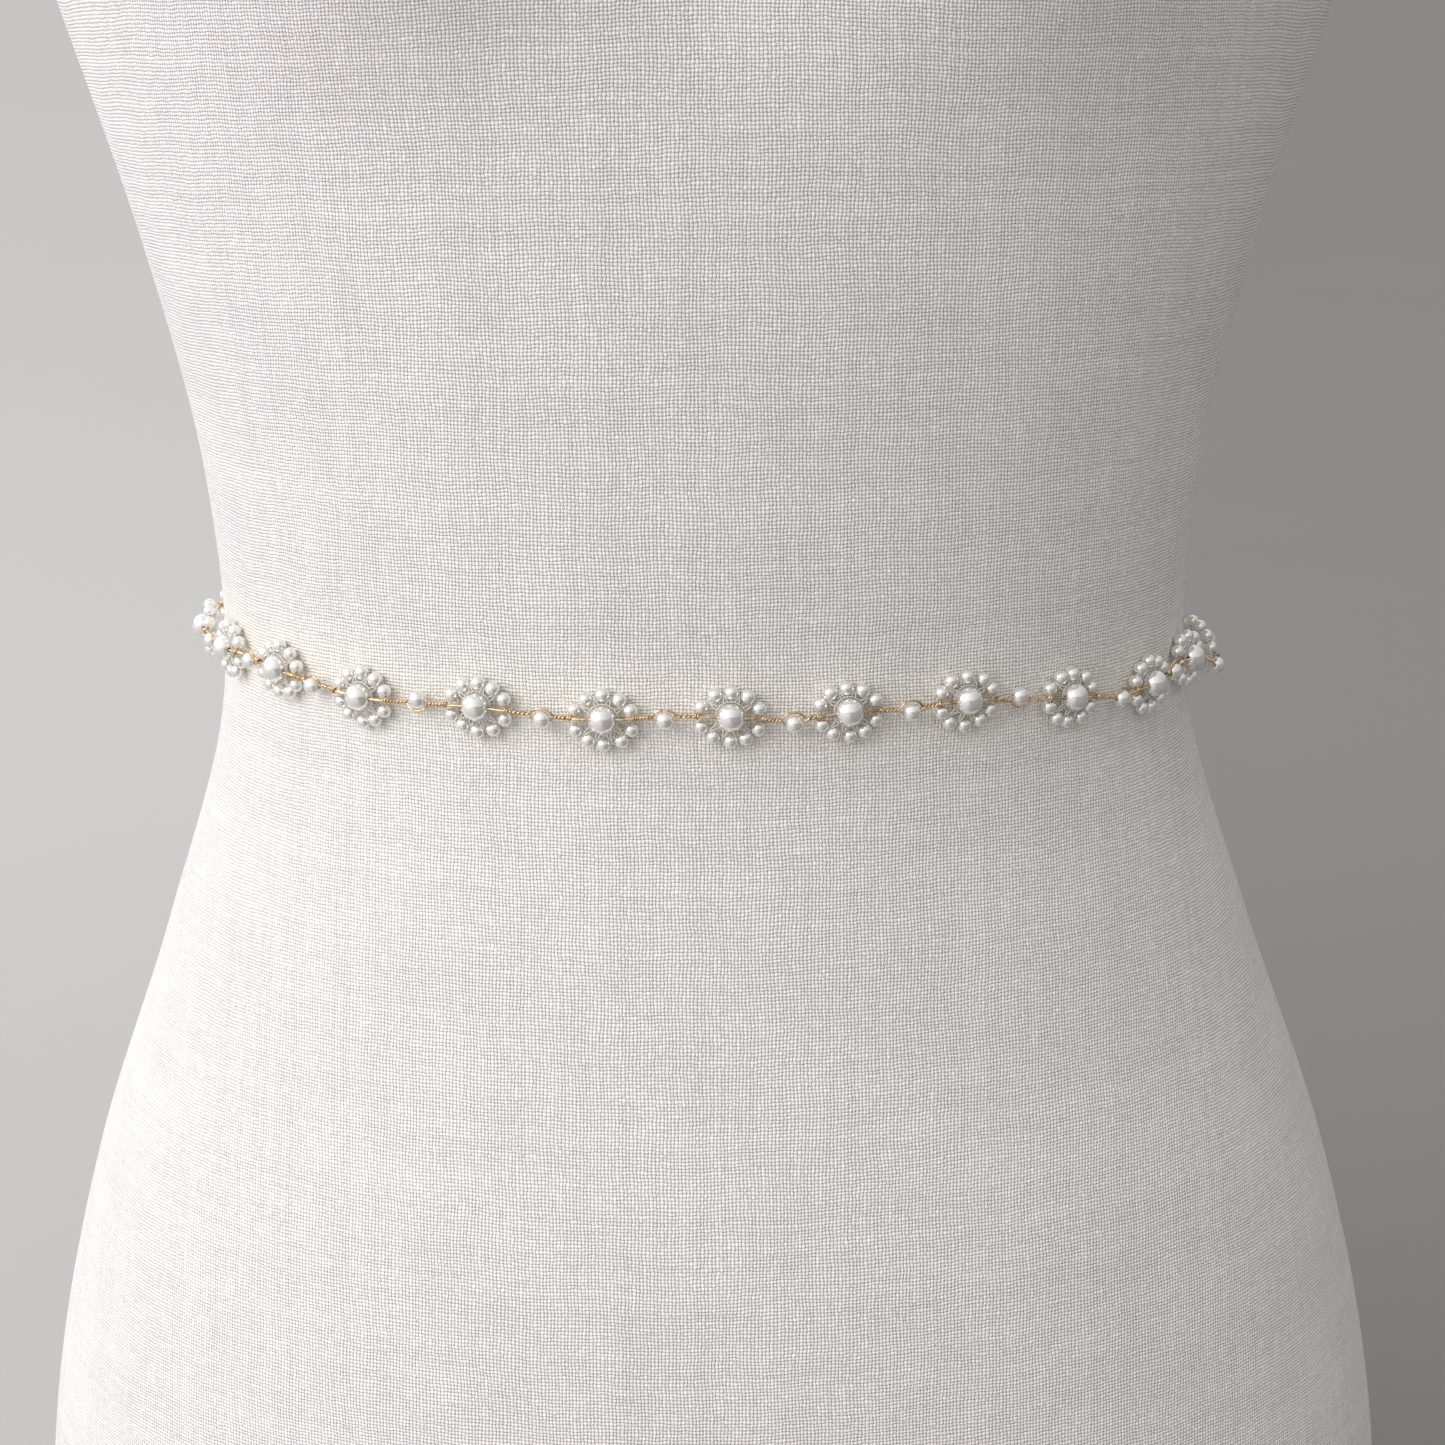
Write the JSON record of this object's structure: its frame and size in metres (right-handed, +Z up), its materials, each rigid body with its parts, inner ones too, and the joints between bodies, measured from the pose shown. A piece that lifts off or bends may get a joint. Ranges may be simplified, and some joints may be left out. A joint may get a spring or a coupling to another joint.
{
  "type": "pearl flower bridal belt on limbless dress form",
  "caption": "Slim bridal belt of pearl flowers and spacer pearls on twisted gold wire, hooked round the waist of a canvas-covered limbless dress form.",
  "frame": {"origin": "on the floor plane at the middle of the base board's underside, under the middle of the waist", "axes": "+Z up through the neck, the form's front faces -Y, +X towards the right as the picture shows it"},
  "size_m": [0.377, 0.246, 0.8073],
  "materials": {
    "canvas": "off-white plain-weave linen canvas with slubs, matte",
    "wood": "pale beech, satin",
    "pearl": "ivory imitation pearl with a satin nacre coat",
    "gold_wire": "gold-plated craft wire, glossy"
  },
  "bodies": {
    "root": {"form_torso": "canvas", "form_base_board": "wood", "form_neck_cap": "wood", "pearl_flower_01": "pearl", "pearl_flower_02": "pearl", "pearl_flower_03": "pearl", "pearl_flower_04": "pearl", "pearl_flower_05": "pearl", "pearl_flower_06": "pearl", "pearl_flower_07": "pearl", "pearl_flower_08": "pearl", "pearl_flower_09": "pearl", "pearl_flower_10": "pearl", "pearl_flower_11": "pearl", "pearl_flower_12": "pearl", "pearl_flower_13": "pearl", "pearl_flower_14": "pearl", "pearl_flower_15": "pearl", "pearl_flower_16": "pearl", "pearl_flower_17": "pearl", "pearl_flower_18": "pearl", "pearl_flower_19": "pearl", "pearl_flower_20": "pearl", "pearl_flower_21": "pearl", "pearl_flower_22": "pearl", "pearl_flower_23": "pearl", "pearl_flower_24": "pearl", "spacer_pearl_01": "pearl", "spacer_pearl_02": "pearl", "spacer_pearl_03": "pearl", "spacer_pearl_04": "pearl", "spacer_pearl_05": "pearl", "spacer_pearl_06": "pearl", "spacer_pearl_07": "pearl", "spacer_pearl_08": "pearl", "spacer_pearl_09": "pearl", "spacer_pearl_10": "pearl", "spacer_pearl_11": "pearl", "spacer_pearl_12": "pearl", "spacer_pearl_13": "pearl", "spacer_pearl_14": "pearl", "spacer_pearl_15": "pearl", "spacer_pearl_16": "pearl", "spacer_pearl_17": "pearl", "spacer_pearl_18": "pearl", "spacer_pearl_19": "pearl", "spacer_pearl_20": "pearl", "spacer_pearl_21": "pearl", "spacer_pearl_22": "pearl", "spacer_pearl_23": "pearl", "twisted_wire_1": "gold_wire", "twisted_wire_2": "gold_wire", "twisted_wire_3": "gold_wire", "twisted_wire_4": "gold_wire", "twisted_wire_5": "gold_wire", "twisted_wire_6": "gold_wire", "twisted_wire_7": "gold_wire", "twisted_wire_8": "gold_wire", "clasp_hook": "gold_wire", "clasp_eye": "gold_wire"}
  },
  "joints": []
}
